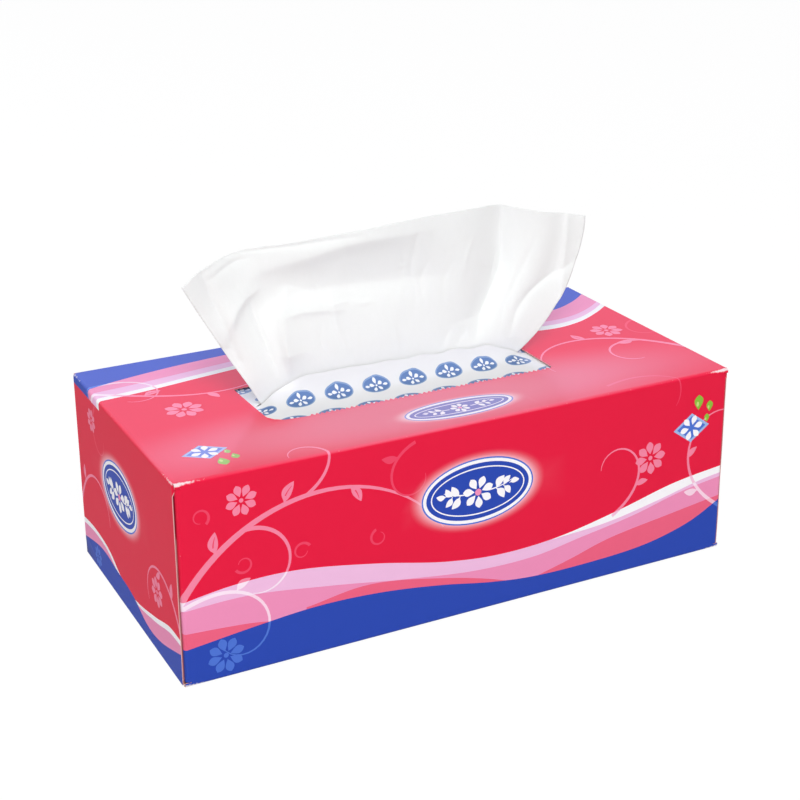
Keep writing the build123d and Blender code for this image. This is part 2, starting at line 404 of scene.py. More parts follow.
film_half_length = opening_length / 2 + film_margin_x
film_half_width = opening_width / 2 + film_margin_y
film_left, film_right = opening_x - film_half_length, opening_x + film_half_length
film_front, film_back = opening_y - film_half_width, opening_y + film_half_width
film_outline = rectangle(film_left, film_front, film_right, film_back)
slit_outline = rectangle(
    slit_left, opening_y - slit_gap / 2, slit_right, opening_y + slit_gap / 2
)
motif_margin_x, motif_margin_y, motif_slit_margin = 7, 4.5, 4.2
film_fields, film_field_inks = [], []
for row in range(-2, 4):
    for place_in_row in range(-6, 7):
        centre = (
            motif_first[0] + (place_in_row + 0.5 * (row % 2)) * motif_pitch,
            motif_first[1] + row * motif_row_pitch,
        )
        near_edge = abs(centre[0] - opening_x) > film_half_length - motif_margin_x
        near_edge |= abs(centre[1] - opening_y) > film_half_width - motif_margin_y
        on_slit = abs(centre[1] - opening_y) < motif_slit_margin
        if near_edge or on_slit:
            continue
        motif = [("rim", oval(centre, 11.6, 6.6, 28)), ("blue", oval(centre, 10.6, 5.7, 28))]
        motif += [("white", shape) for shape in blossom(centre, 5.6, 5, 0.4)]
        for heading in (math.pi, 0.0):
            motif.append(("white", petal(centre, heading, 2.6, 2.1, 1.0, 6)))
        film_field_inks += [ink for ink, _ in motif]
        film_fields += [shape for _, shape in motif]

film_lines = []
for step in range(1, 38):
    x = film_left + 2 * film_half_length * step / 38
    film_lines.append([(x, film_front), (x, film_back)])
for side in (-1, 1):
    for step in range(19):
        y = opening_y + side * (slit_gap / 2 + lip_run * (step / 18) ** 1.4)
        film_lines.append([(film_left, y), (film_right, y)])
film_flat, film_triangles, film_inside = cut_fields(
    film_outline, [slit_outline], film_fields, film_lines
)
film_names = list(film_inks)
film_face_inks = np.array([
    film_names.index(film_field_inks[max(owners)]) if owners else 0 for owners in film_inside
])


def film_height(flat):
    """How high the film stands at each place: flat, and rising to the slit's lips."""
    share = np.clip((flat[:, 0] - slit_left) / (slit_right - slit_left), 0, 1)
    in_front = flat[:, 1] < opening_y
    fullness = lip_height * (1 + in_front * 0.3 * (1 - share) ** 2)
    lift = fullness * (1 - np.abs(2 * share - 1) ** 7) ** 1.5
    nearness = 1 - (np.abs(flat[:, 1] - opening_y) - slit_gap / 2) / lip_run
    gather = 1 + 0.05 * np.sin(flat[:, 0] * 0.41) + 0.035 * np.sin(flat[:, 0] * 1.13 + 1)
    return lift * gather * np.clip(nearness, 0, 1) ** 4


raised = film_height(film_flat)
film_upper = np.column_stack([film_flat, film_top + raised])
film_lower = np.column_stack([film_flat, film_top - film_thickness + raised])

film_clear, film_tree, film_shader = surface("printed_film")
film_pull = noise(times(on_object(film_tree), (1.0, 0.25, 1.0)), 220.0, 2.0)
feed(
    film_shader,
    Base_Color=ink_of(film_tree),
    Roughness=0.32, IOR=1.49, Alpha=0.9,
    Normal=bumped(film_pull, 0.4, 0.15),
)
film_mesh = two_skins(
    "film_window", film_flat, film_triangles, film_face_inks, film_upper, film_lower,
    [film_clear, film_clear], np.array([linear(film_inks[name]) for name in film_names])
)
place("film_window", film_mesh, "slit_film")

# Carton: one blank of white-lined board, printed and varnished on its outside, cut, creased and
# folded round the stack. The back panel is glued over the seam flap, the dust and inner flaps
# are glued behind the outer end flaps, and the opening was torn out along its perforation.
fold_radius = 1.3
fold_gap = 0.6
score_end = carton_length / 2 - 2 * board_thickness - fold_radius - fold_gap
seam_height = fold_radius + 0.3
glue_flap_height = 16.0
outer_flap_relief, outer_flap_floor_gap = 1.4, 0.5
inner_flap_relief, inner_flap_height = 2.0, 57.0
dust_flap_relief, dust_flap_depth, dust_flap_corner = 2.0, 44.0, 9.0
flap_corner = 0.4
opening_corner_radius, clean_cut_length = 6.0, 9.0
tooth_pitch, tooth_depth = 2.0, 0.95
torn_lift, torn_reach = 0.4, 0.9
corner_lift, corner_reach = 0.6, 11
crease_wear, crease_wear_reach = 0.36, 0.9
corner_wear, corner_wear_reach = 0.7, 1.7
# The painted reflection on the top, round the window: its centre, its half size and its strongest
# share.
painted_reflection_centre, painted_reflection_half_size, painted_reflection_share = (-6, -38, carton_height), (150, 36, 1.5), 0.28
quarter = fold_radius * math.pi / 2
flat_height = carton_height - 2 * fold_radius
flat_width = carton_width - 2 * fold_radius

# The blank lies flat with its girth along v: back panel from its seam edge up, top panel from
# the back to the front, front panel down, bottom panel to the back, then the seam flap.
back_run = carton_height - fold_radius - seam_height
bottom_run = carton_width - 2 * fold_radius - board_thickness
girth_runs = (back_run, flat_width, flat_height, bottom_run, glue_flap_height - fold_radius)
panel_starts = [sum(girth_runs[:i]) + i * quarter for i in range(5)]
top_start, front_start, bottom_start, seam_start = panel_starts[1:]
blank_end = seam_start + girth_runs[4]
top_end = carton_height - fold_radius
half_flat = carton_width / 2 - fold_radius


def girth(v):
    """Where the outside of the folded sleeve is, in (y, z), and which way is in."""
    outside = np.zeros((len(v), 2))
    inward = np.zeros((len(v), 2))
    corner = np.array([carton_width / 2, seam_height])
    heading = math.pi / 2
    for run, start in zip(girth_runs, panel_starts):
        ahead = np.array([math.cos(heading), math.sin(heading)])
        left = np.array([-ahead[1], ahead[0]])
        on_run = v >= start - 1e-9
        outside[on_run] = corner + np.outer(v[on_run] - start, ahead)
        inward[on_run] = left
        corner = corner + run * ahead
        on_turn = v > start + run
        angle = np.clip((v[on_turn] - start - run) / fold_radius, 0, math.pi / 2)
        turned_left = np.outer(np.cos(angle), left) - np.outer(np.sin(angle), ahead)
        outside[on_turn] = corner + fold_radius * (left - turned_left)
        inward[on_turn] = turned_left
        corner = corner + fold_radius * (left + ahead)
        heading += math.pi / 2
    return outside, inward


dust_start = score_end + fold_gap
outer_start = carton_length / 2 - fold_radius
inner_start = outer_start - board_thickness
dust_far = dust_start + quarter + dust_flap_depth - fold_radius
outer_far = outer_start + quarter + top_end - outer_flap_floor_gap
inner_far = inner_start + quarter + inner_flap_height - fold_radius
corner_far = carton_length / 2 - 0.55
flap_slit = 0.2


def flap(start, width, relief, *shape):
    """A flap: where on the girth it begins and ends, its fold, its far edge, its cut corners."""
    return (start + relief - fold_radius, start + width - relief + fold_radius, *shape)


flaps = (
    (dust_flap_relief - seam_height, carton_height - dust_flap_relief - seam_height,
     dust_start, dust_far, dust_flap_corner),
    flap(top_start, flat_width, outer_flap_relief, outer_start, outer_far, flap_corner),
    flap(front_start, flat_height, dust_flap_relief, dust_start, dust_far, dust_flap_corner),
    flap(bottom_start, flat_width, inner_flap_relief, inner_start, inner_far, flap_corner),
)


def flap_fold(v):
    """How far out the fold starts at each place of the girth, where there is a flap."""
    starts = np.full(len(v), 999.0)
    for low, high, start, far, corner in flaps:
        starts[(v > low - 0.8 * flap_slit) & (v < high + 0.8 * flap_slit)] = start
    return starts


def fold_blank(flat, depth):
    """The flat blank, at a depth inside the board, folded to the carton."""
    across = np.abs(flat[:, 0])
    outside, inward = girth(flat[:, 1])
    start = flap_fold(flat[:, 1])
    turn = np.clip((across - start) / fold_radius, 0, math.pi / 2)
    past = np.maximum(across - start - quarter, 0)
    x = np.minimum(across, start) + (fold_radius - depth) * np.sin(turn)
    sunk = fold_radius - (fold_radius - depth) * np.cos(turn) + past
    y_z = outside + inward * sunk[:, None]
    return np.column_stack([np.sign(flat[:, 0]) * x, y_z])


# A panel's shapes are drawn in millimetres on the standing carton, and laid on the blank by these.
def on_front(shape):
    return [(a, front_start + top_end - b) for a, b in shape]


def on_back(shape):
    return [(-a, b - seam_height) for a, b in shape]


def on_top(shape):
    return [(a, top_start + half_flat - b) for a, b in shape]


end_fold = carton_length / 2 - fold_radius + quarter + top_end


def on_left(shape):
    return [(b - end_fold, top_start + half_flat + a) for a, b in shape]


def on_right(shape):
    return [(end_fold - b, top_start + half_flat - a) for a, b in shape]


def flap_edge(low, high, far, corner):
    """One flap's outline from the sleeve's end, out and back: its long edges a little wavy from
    the cut, its far corners cut off."""
    reach = np.linspace(score_end, far - corner, 12)
    wave = 0.12 * np.sin(reach * 0.21 + low) * np.linspace(0, 1, 12)
    return [
        *zip(reach, low + wave), (far, low + corner),
        (far, high - corner), *zip(reach[::-1], (high + wave)[::-1]),
    ]


right_edge = [(score_end, 0)]
for i, (low, high, start, far, corner) in enumerate(flaps):
    right_edge += flap_edge(low, high, far, corner)
    if i < 3:
        near, away = high + flap_slit, flaps[i + 1][0] - flap_slit
        right_edge += [(score_end, near), (corner_far, near), (corner_far, away), (score_end, away)]
right_edge.append((score_end, blank_end))
blank_outline = right_edge + [(-u, v) for u, v in right_edge[::-1]]


def toothed_run(start, end, inward):
    """A torn perforation from start to end, its teeth pointing inward."""
    run = Vector(end) - Vector(start)
    teeth = max(1, round(run.length / tooth_pitch))
    points = []
    for tooth in range(teeth):
        points.append(Vector(start) + run * (tooth / teeth))
        points.append(Vector(start) + run * ((tooth + 0.5) / teeth) + Vector(inward) * tooth_depth)
    return points


opening_left = opening_x - opening_length / 2
opening_right = opening_x + opening_length / 2
opening_front = opening_y - opening_width / 2
opening_back = opening_y + opening_width / 2
opening_points = []
for step in range(9):
    angle = math.pi * (1 + step / 16)
    opening_points.append((
        opening_left + opening_corner_radius * (1 + math.cos(angle)),
        opening_front + opening_corner_radius * (1 + math.sin(angle)),
    ))
opening_corners = [(opening_left + opening_corner_radius + clean_cut_length, opening_front),
                   (opening_right, opening_front), (opening_right, opening_back),
                   (opening_left, opening_back)]
for start, end, inward in zip(opening_corners, opening_corners[1:], ((0, 1), (-1, 0), (0, -1))):
    opening_points += toothed_run(start, end, inward)
opening_points.append(opening_corners[-1])


def bend_steps(start):
    """Lines beside and along a round bend."""
    return [start - 0.35, *(start + quarter * i / 6 for i in range(7)), start + quarter + 0.35]


# Creases and an even net of lines, so that every fold is round and every panel can bend.
carton_lines = []
for run, start in zip(girth_runs[:4], panel_starts[:4]):
    panel_steps = [start + run * i / 8 for i in range(1, 8)]
    carton_lines += [[(-corner_far, v), (corner_far, v)] for v in bend_steps(start + run)]
    carton_lines += [[(-score_end, v), (score_end, v)] for v in panel_steps]
for step in range(1, 22):
    u = score_end * (2 * step / 22 - 1)
    carton_lines.append([(u, 0), (u, blank_end)])
for low, high, start, far, corner in flaps:
    flap_steps = [start + quarter + (far - start - quarter) * i / 6 for i in range(1, 6)]
    for u in bend_steps(start) + flap_steps:
        carton_lines += [[(side * u, low), (side * u, high)] for side in (-1, 1)]
    for step in range(1, 8):
        v = low + (high - low) * step / 8
        carton_lines += [[(side * score_end, v), (side * far, v)] for side in (-1, 1)]
for away in (0.5, 1.1, 2.2, 4.5, 8.0):
    reach_x, reach_y = opening_length / 2 + away, opening_width / 2 + away
    ring = rectangle(opening_x - reach_x, opening_y - reach_y,
                     opening_x + reach_x, opening_y + reach_y)
    finer = [
        tuple(np.array(p) + (np.array(q) - np.array(p)) * i / 24)
        for p, q in zip(ring, ring[1:] + ring[:1])
        for i in range(24)
    ]
    carton_lines.append(on_top(finer + finer[:1]))

# Print: fields of flat colour in painter's order, later ones over earlier ones. A vine takes its
# own colour on each ground, the first for a strong vine and the second for a faint one.
(red, blue, white, lilac, pink, rose,
 green, light_green, pale_blue, bloom_blue, vine, faint) = range(12)
carton_inks = ("E70A3B", "2446B0", "FBF8FB", "F0BCE0", "EF8FB9", "EE6080",
               "8CBF3A", "C6DE7C", "9DB9E8", "4A72D2")
vine_on = {
    red: ("F585A2", "EE4263"),
    blue: ("4C74D0", "2F52B8"),
    white: ("F6C3DC", "FBE6F1"),
    lilac: ("FBE4F3", "F5CDE9"),
    pink: ("FBD6E7", "F4A9CB"),
    rose: ("FABFD0", "F27F9A"),
}
print_fields, print_inks, glows = [], [], []


def paint(ink, shapes, panel):
    """Prints closed shapes on a panel."""
    for shape in shapes:
        print_fields.append(panel(shape))
        print_inks.append(ink)


def smooth_line(knots, steps=8):
    """A smooth line through knots."""
    knots = [np.array(k, float) for k in knots]
    knots = [2 * knots[0] - knots[1], *knots, 2 * knots[-1] - knots[-2]]
    made = []
    for a, b, c, d in zip(knots, knots[1:], knots[2:], knots[3:]):
        for i in range(steps):
            t = i / steps
            made.append(tuple(0.5 * (2 * b + (c - a) * t + (2 * a - 5 * b + 4 * c - d) * t**2
                                     + (3 * b - a - 3 * c + d) * t**3)))
    made.append(tuple(knots[-2]))
    return made


def below(knots, floor):
    """All of a panel under a smooth line."""
    line = smooth_line(knots)
    return [line + [(line[-1][0], floor), (line[0][0], floor)]]


def tendril(start, heading, length, curl, tighten, width, points=30):
    """A stem that grows from start, its curl growing tighter, its width dying away."""
    heading = math.radians(heading)
    x, y = start
    centre = []
    for i in range(points + 1):
        t = i / points
        centre.append((x, y, heading, width * (1 - t) ** 0.8 + 0.22))
        turn = math.radians(curl * (1 - t) + tighten * t) / points
        heading += turn
        x += math.cos(heading) * length / points
        y += math.sin(heading) * length / points
    left = [(a - math.sin(h) * w / 2, b + math.cos(h) * w / 2) for a, b, h, w in centre]
    right = [(a + math.sin(h) * w / 2, b - math.cos(h) * w / 2) for a, b, h, w in centre]
    return left + right[::-1], centre


def leaf(base, heading, length, width):
    """A pointed leaf on a short stalk, with a slight bow."""
    upper, lower = [], []
    for i in range(13):
        t = i / 12
        blade = max(0.0, t - 0.14) / 0.86
        bow = 0.1 * length * math.sin(math.pi * t)
        w = width / 2 * math.sin(math.pi * blade**0.85) ** 0.85 + 0.03 * length * (1 - t)
        upper.append((length * t, bow + w))
        lower.append((length * t, bow - w))
    return set_at(base, math.radians(heading), upper + lower[-2::-1])


def vine_stem(panel, start, heading, length, curl, tighten, width, ink=vine, leaves=(),
              shoots=()):
    """A stem with leaves and shoots at shares of its length."""
    outline, centre = tendril(start, heading, length, curl, tighten, width)
    paint(ink, [outline], panel)
    for share, side, size in leaves:
        x, y, h, _ = centre[round(share * 30)]
        turned = math.degrees(h) + side * 48
        paint(ink, [leaf((x, y), turned, size, size * 0.4)], panel)
        if size > 7:
            c, s = math.cos(math.radians(turned)), math.sin(math.radians(turned))
            at = (x + size * (0.34 * c - 0.1 * s), y + size * (0.34 * s + 0.1 * c))
            paint(faint, [tendril(at, turned, size * 0.46, -20, -20, 0.3, 6)[0]], panel)
    for share, side, size, shoot_curl, shoot_tighten in shoots:
        x, y, h, w = centre[round(share * 30)]
        shoot, _ = tendril(
            (x, y), math.degrees(h) + side * 22, size, shoot_curl, shoot_tighten, w * 0.7)
        paint(ink, [shoot], panel)


def medallion(panel, centre, width, height):
    """A blue oval with a white border, a white sprig in it and a soft glow round it."""
    x, y = centre
    for ink, trim_x, trim_y in ((bloom_blue, -1.2, -1.2), (white, 0, 0), (blue, 2.6, 2.6),
                                (white, 6.4, 6.0), (blue, 7.4, 7.0)):
        paint(ink, [oval(centre, width - trim_x, height - trim_y, 56)], panel)
    for side, ahead in ((-1, 180), (1, 0)):
        stalk, _ = tendril((x + side * width * 0.1, y - 0.02 * height), ahead,
                           width * 0.22, side * 24, side * 24, 0.35, 8)
        paint(white, [stalk], panel)
        for step in range(2):
            at = (x + side * width * (0.165 + 0.07 * step), y - height * (0.02 - 0.015 * step))
            for lean in (-52, 52):
                size = height * (0.23 - 0.045 * step)
                paint(white, [leaf(at, ahead + lean, size, size * 0.5)], panel)
        tip = (x + side * width * 0.29, y + height * 0.02)
        paint(white, [leaf(tip, ahead + side * 8, height * 0.17, height * 0.085)], panel)
    heart = (x, y - 0.02 * height)
    paint(white, blossom(heart, height * 0.52, 7, 0.3)[:-1], panel)
    paint(pink, [oval(heart, height * 0.11, height * 0.11, 14)], panel)
    size = (height, width) if panel in (on_left, on_right) else (width, height)
    glows.append((panel((centre,))[0], size))


def badge(panel, centre, size, turned=1):
    """A small blue lozenge with three green drops above it."""
    x, y = centre
    tall = size * 0.72 * turned
    lozenge = [(x - size, y), (x, y - tall), (x + size, y), (x, y + tall)]
    inner = [(x + (a - x) * 0.8, y + (b - y) * 0.8) for a, b in lozenge]
    paint(pale_blue, [lozenge], panel)
    paint(bloom_blue, [inner], panel)
    paint(white, blossom(centre, size * 1.25, 6, 0.2)[:-1], panel)
    upright = math.pi / 2 * turned
    for dx, dy, drop in ((0.35, 1.12, 0.5), (0.98, 0.86, 0.36), (0.85, 0.3, 0.28)):
        at = (x + dx * size, y + dy * size * turned)
        body = petal(at, upright, -size * drop * 0.6, size * drop * 1.5, size * drop)
        shine = oval((at[0] - 0.06 * size, at[1]), size * drop * 0.3, size * drop * 0.5, 10)
        paint(green, [body], panel)
        paint(light_green, [shine], panel)


front_crest = ((-122, 32), (-95, 35.6), (-70, 35.4), (-40, 30.4), (-12, 24.2), (12, 21.6),
               (38, 22.8), (66, 28), (92, 34), (122, 37.5))
white_top = [p for p in smooth_line(front_crest) if p[0] > 36]
white_foot = smooth_line(((34, 22.2), (60, 23.8), (84, 28), (104, 32.3), (122, 34.6)))
front_waves = (
    (lilac, below(front_crest, -1.5)),
    (pink, below(((-122, 29.4), (-90, 30.2), (-58, 26), (-30, 21.4), (0, 17.4), (26, 17),
                  (48, 20.2), (72, 24), (96, 29.5), (122, 33)), -1.5)),
    (white, [white_foot + white_top[::-1]]),
    (rose, below(((-122, 21.4), (-104, 20.4), (-88, 19), (-78, 17)), 8)),
    (rose, below(((-68, 19.8), (-42, 22.6), (-10, 17), (14, 10), (20, 6)), 4)),
    (rose, below(((18, 6), (42, 11.6), (62, 16.8), (90, 20.6), (122, 24.8)), 4)),
    (blue, below(((-122, 13.8), (-86, 17.6), (-62, 19.2), (-38, 18.2), (-14, 15), (8, 10.8),
                  (28, 8.5), (54, 8.3), (78, 9.8), (98, 14.4), (112, 21), (122, 27)), -1.5)),
)
for panel in (on_front, on_back):
    for ink, shapes in front_waves:
        paint(ink, shapes, panel)
    vine_stem(panel, (-117, 29), 62, 126, -96, -140, 2.6,
              leaves=((0.2, 1, 9), (0.44, 1, 9), (0.63, -1, 8)),
              shoots=((0.3, -1, 46, -150, -260), (0.5, 1, 40, 60, 420)))
    vine_stem(panel, (-117, 29.5), 24, 70, -40, -500, 1.5, leaves=((0.35, 1, 7),))
    vine_stem(panel, (-24, 75), 200, 40, 100, 430, 1.1, ink=faint, leaves=((0.2, -1, 7),))
    vine_stem(panel, (62, 26), 30, 50, 60, 420, 1.2, leaves=((0.3, -1, 6),))
    vine_stem(panel, (117, 17), 150, 68, -40, -330, 1.4, leaves=((0.25, 1, 7), (0.5, -1, 6)))
    for centre, size, turn in (((-91, 67), 12, 0.3), ((79, 47), 14, 0.1)):
        paint(vine, blossom(centre, size, 8, turn), panel)
    paint(bloom_blue, blossom((-99, 9), 14, 8, 0.25), panel)
    for x, y, heading in ((-104, 61, 40), (-40, 44, 200), (-66, 44, 120), (-94, 41, 300)):
        curl, _ = tendril((x, y), heading, 15, 240, 400, 0.9)
        paint(faint, [curl], panel)
    medallion(panel, (2, 50), 46, 25)
    badge(panel, (98, 56), 8.5)

side_waves = (
    (white, ((-60, 16), (-42, 17.6), (-24, 16.2), (-9, 10.8), (8, 9.6), (30, 14), (46, 18.2),
             (60, 18.4))),
    (pink, ((-60, 13.6), (-42, 15.6), (-26, 14.8), (-12, 10.2), (8, 8.6), (30, 12), (46, 15.8),
            (60, 16.4))),
    (blue, ((-60, 7.2), (-34, 12.4), (-14, 11.4), (4, 10), (20, 5.6), (36, 6.6), (60, 13.6))),
)
for panel in (on_left, on_right):
    for ink, knots in side_waves:
        paint(ink, below(knots, -1), panel)
    vine_stem(panel, (60, 16), 112, 58, 40, 330, 1.5, leaves=((0.3, -1, 7), (0.55, 1, 6)))
    vine_stem(panel, (-60, 18), 70, 60, -30, -300, 1.5, leaves=((0.35, 1, 7),))
    vine_stem(panel, (-30, 74), 230, 34, 60, 420, 1.0, ink=faint)
    paint(vine, blossom((34, 26), 12, 8, 0.2), panel)
    paint(vine, blossom((-36, 66), 10, 8, 0.5), panel)
    paint(bloom_blue, blossom((-40, 6), 9, 8, 0.2), panel)
    medallion(panel, (-5, 47), 40, 24)

top_run = (-118, -96, -70, -40, -8, 24, 52, 76, 92, 106, 120)
blue_run = (-118, -100, -74, *top_run[3:])
for ink, run, heights in (
    (white, top_run, (24, 26, 30, 34, 35, 29, 19.5, 13.2, 15, 22, 32)),
    (lilac, top_run, (27, 29.4, 33.6, 37.6, 38.8, 33.4, 24, 17.8, 18.6, 25, 35.5)),
    (pink, top_run, (33, 35, 38.6, 42.4, 43.6, 38.4, 29.5, 22.8, 22.8, 28.5, 38.5)),
    (blue, blue_run, (37, 42, 46.6, 49.6, 49.6, 45.6, 38.5, 33.2, 33.6, 40, 51)),
):
    paint(ink, below(tuple(zip(run, heights)), 58.4), on_top)
vine_stem(on_top, (-118, 34), 330, 78, -30, 190, 1.6, leaves=((0.3, 1, 8), (0.6, -1, 7)))
vine_stem(on_top, (-118, 38), 20, 54, -60, -420, 1.2)
vine_stem(on_top, (118, -36), 118, 96, 30, 300, 1.9, leaves=((0.3, 1, 9), (0.5, -1, 8)),
          shoots=((0.25, 1, 40, 100, 330),))
vine_stem(on_top, (118, 8), 190, 34, 60, 420, 1.0, ink=faint)
vine_stem(on_top, (62, -52), 20, 44, -30, -260, 1.1, ink=faint)
for centre, size, turn in (((-89, 2), 15, 0.2), ((97, 1), 14, 0.4)):
    paint(vine, blossom(centre, size, 8, turn), on_top)
medallion(on_top, (2, -44), 44, 15)
badge(on_top, (-96, -38), 8.5, -1)
print_fields.append(rectangle(-score_end - 2, bottom_start, score_end + 2, seam_start))
print_inks.append(blue)

# The soft light round each medallion is a glow on the red alone, so it needs rings to fade over.
glow_reach = 5.0
for centre, size in glows:
    for step in range(1, 8):
        grown = 1.2 + 2 * glow_reach * (step / 7) ** 1.3
        ring = oval(centre, size[0] + grown, size[1] + grown, 56)
        carton_lines.append(ring + ring[:1])

blank_flat, blank_triangles, blank_inside = cut_fields(
    blank_outline, [on_top(opening_points)], print_fields, carton_lines
)
shade_table = [linear(colour) for colour in carton_inks]
shade_number = {}


def shade_of(owners):
    """The colour of a place: its highest field, and for a vine the ground that it lies on."""
    if not owners:
        return red
    ink = print_inks[max(owners)]
    if ink not in (vine, faint):
        return ink
    grounds = [print_inks[o] for o in sorted(owners) if print_inks[o] in vine_on]
    key = (ink, grounds[-1] if grounds else red)
    if key not in shade_number:
        shade_number[key] = len(shade_table)
        shade_table.append(linear(vine_on[key[1]][0 if ink == vine else 1]))
    return shade_number[key]


blank_inks = np.array([shade_of(owners) for owners in blank_inside])
red_shades = np.isin(np.arange(len(shade_table)), [
    red, *(number for key, number in shade_number.items() if key[1] == red)])


def print_shades(shades, flat, inks):
    """A soft glow in the red round the medallions."""
    glow = np.zeros(len(flat))
    for (x, y), (width, height) in glows:
        reach = np.hypot((flat[:, 0] - x) / (width / 2), (flat[:, 1] - y) / (height / 2))
        away = (reach - 1) * np.hypot(width, height) / 2 * 0.62
        glow = np.maximum(glow, np.clip(1 - away / glow_reach, 0, 1) ** 2.2)
    share = (glow * red_shades[inks])[:, None] * 0.85
    return shades * (1 - share) + np.array(linear("FFD9E2")) * share


def graded(value, low, high, bottom, top, curve="LINEAR"):
    """A value's place between low and high, as one between bottom and top."""
    return output("ShaderNodeMapRange", {
        "Value": value, "From Min": low, "From Max": high, "To Min": bottom, "To Max": top
    }, interpolation_type=curve)


def blended(share, first, second):
    """A share of the way from the first colour to the second."""
    return put(share.id_data, "ShaderNodeMix", {
        0: share, 6: first, 7: second}, data_type="RGBA").outputs[2]


board_print, board_tree, board_shader = surface("varnished_print")
rubbed = put(board_tree, "ShaderNodeAttribute", attribute_name="rubbed").outputs["Fac"]
board_place = on_object(board_tree)
board_height, board_tone = grained(board_place, (1.0, 1.0, 1.0), 420.0, 0.05)
flecks = noise(board_place, 900.0, 3.0, 0.65)
worn = graded(reckon("ADD", flecks, rubbed), 1.0, 1.25, 0.0, 0.85)
printed = times(ink_of(board_tree), board_tone)
worn_colour = blended(worn, printed, (*linear("F7EDEF"), 1.0))
# A painted reflection: a pale field round the window on the top, painted into the print's colour
# where the varnish would mirror the white sheet.
painted_reflection_offset = output("ShaderNodeVectorMath", {
    0: board_place, 1: tuple(part * mm for part in painted_reflection_centre)}, operation="SUBTRACT")
painted_reflection_reach = times(painted_reflection_offset, tuple(1 / (part * mm) for part in painted_reflection_half_size))
painted_reflection_distance = put(board_tree, "ShaderNodeVectorMath", {0: painted_reflection_reach}, operation="LENGTH")
painted_reflection = graded(painted_reflection_distance.outputs["Value"], 1.0, 0.2, 0.0, painted_reflection_share, "SMOOTHSTEP")
with_painted_reflection = blended(painted_reflection, worn_colour, (0.93, 0.76, 1.0, 1.0))
# The light that the print throws on the white sheet is held back, as the photograph's is.
diffuse_ray = put(board_tree, "ShaderNodeLightPath").outputs["Is Diffuse Ray"]
cast_share = reckon("MULTIPLY", diffuse_ray, 0.7)
feed(
    board_shader,
    Base_Color=blended(cast_share, with_painted_reflection, (0.5, 0.5, 0.5, 1.0)),
    Roughness=graded(worn, 0.0, 1.0, 0.44, 0.8),
    IOR=1.45, Specular_IOR_Level=0.2, Coat_Weight=0.12, Coat_Roughness=0.15,
    Normal=bumped(board_height, 0.25, 0.03),
)
# Raw board: the inner skin and the cut edges, in the colours that the mesh carries; the edges' dark
# red inner side is painted shade.
board_raw, raw_tree, raw_shader = surface("raw_board")
raw_height, raw_tone = grained(on_object(raw_tree), (0.3, 1.0, 1.0), 500.0, 0.12)
feed(
    raw_shader,
    Base_Color=times(ink_of(raw_tree), raw_tone),
    Roughness=0.9, Specular_IOR_Level=0.25,
    Normal=bumped(raw_height, 0.5, 0.05),
)

carton_outer = fold_blank(blank_flat, 0.0)
carton_inner = fold_blank(blank_flat, board_thickness)
# The torn edge of the opening stands up a little, most at the front left, where it was lifted.
on_panel = (blank_flat[:, 1] > top_start) & (blank_flat[:, 1] < front_start - quarter)
from_centre = np.abs(carton_outer[:, :2] - (opening_x, opening_y))
beyond = from_centre - np.array([opening_length, opening_width]) / 2 + tooth_depth
beside = np.hypot(*np.maximum(beyond, 0).T)
x, y = carton_outer[:, 0], carton_outer[:, 1]
ragged = 0.75 + 0.25 * np.sin(x * 2.3) * np.sin(y * 3.1 + 1)
from_lifted = np.hypot(x - opening_left - 2, y - opening_front - 2)
edge_lift = torn_lift * ragged * np.exp(-((beside / torn_reach) ** 2))
edge_lift += corner_lift * np.exp(-((from_lifted / corner_reach) ** 2))
edge_lift *= on_panel
carton_outer[:, 2] += edge_lift
carton_inner[:, 2] += edge_lift
# The cut edges run from a pale outer side to a dark red inner side, which is painted shade, as in
# the gaps beside the end flaps.
carton_mesh = two_skins(
    "printed_carton", blank_flat, blank_triangles, blank_inks, carton_outer, carton_inner,
    [board_print, board_raw], np.array(shade_table), print_shades,
    bare_and_edge_shade=("E6E2DD", "F6C9C6", "8A0F1E")
)
# Wear: the print is rubbed along the creases, most of all where three panels meet.
from_crease = np.full(len(blank_flat), 99.0)
for start, run in zip(panel_starts[:4], girth_runs[:4]):
    middle = start + run + quarter / 2
    from_crease = np.minimum(from_crease, np.abs(blank_flat[:, 1] - middle))
flap_middle = flap_fold(blank_flat[:, 1]) + quarter / 2
from_crease = np.minimum(from_crease, np.abs(np.abs(blank_flat[:, 0]) - flap_middle))
half_size = np.array([carton_length, carton_width, carton_height]) / 2
from_corner = np.linalg.norm(np.abs(carton_outer - (0, 0, half_size[2])) - half_size, axis=1)
wear = crease_wear * np.exp(-((from_crease / crease_wear_reach) ** 2))
wear += corner_wear * np.exp(-((from_corner / corner_wear_reach) ** 2))
worn_places = carton_mesh.attributes.new("rubbed", "FLOAT", "POINT")
worn_places.data.foreach_set("value", np.concatenate([wear, wear * 0]))
place("printed_carton", carton_mesh, "carton")

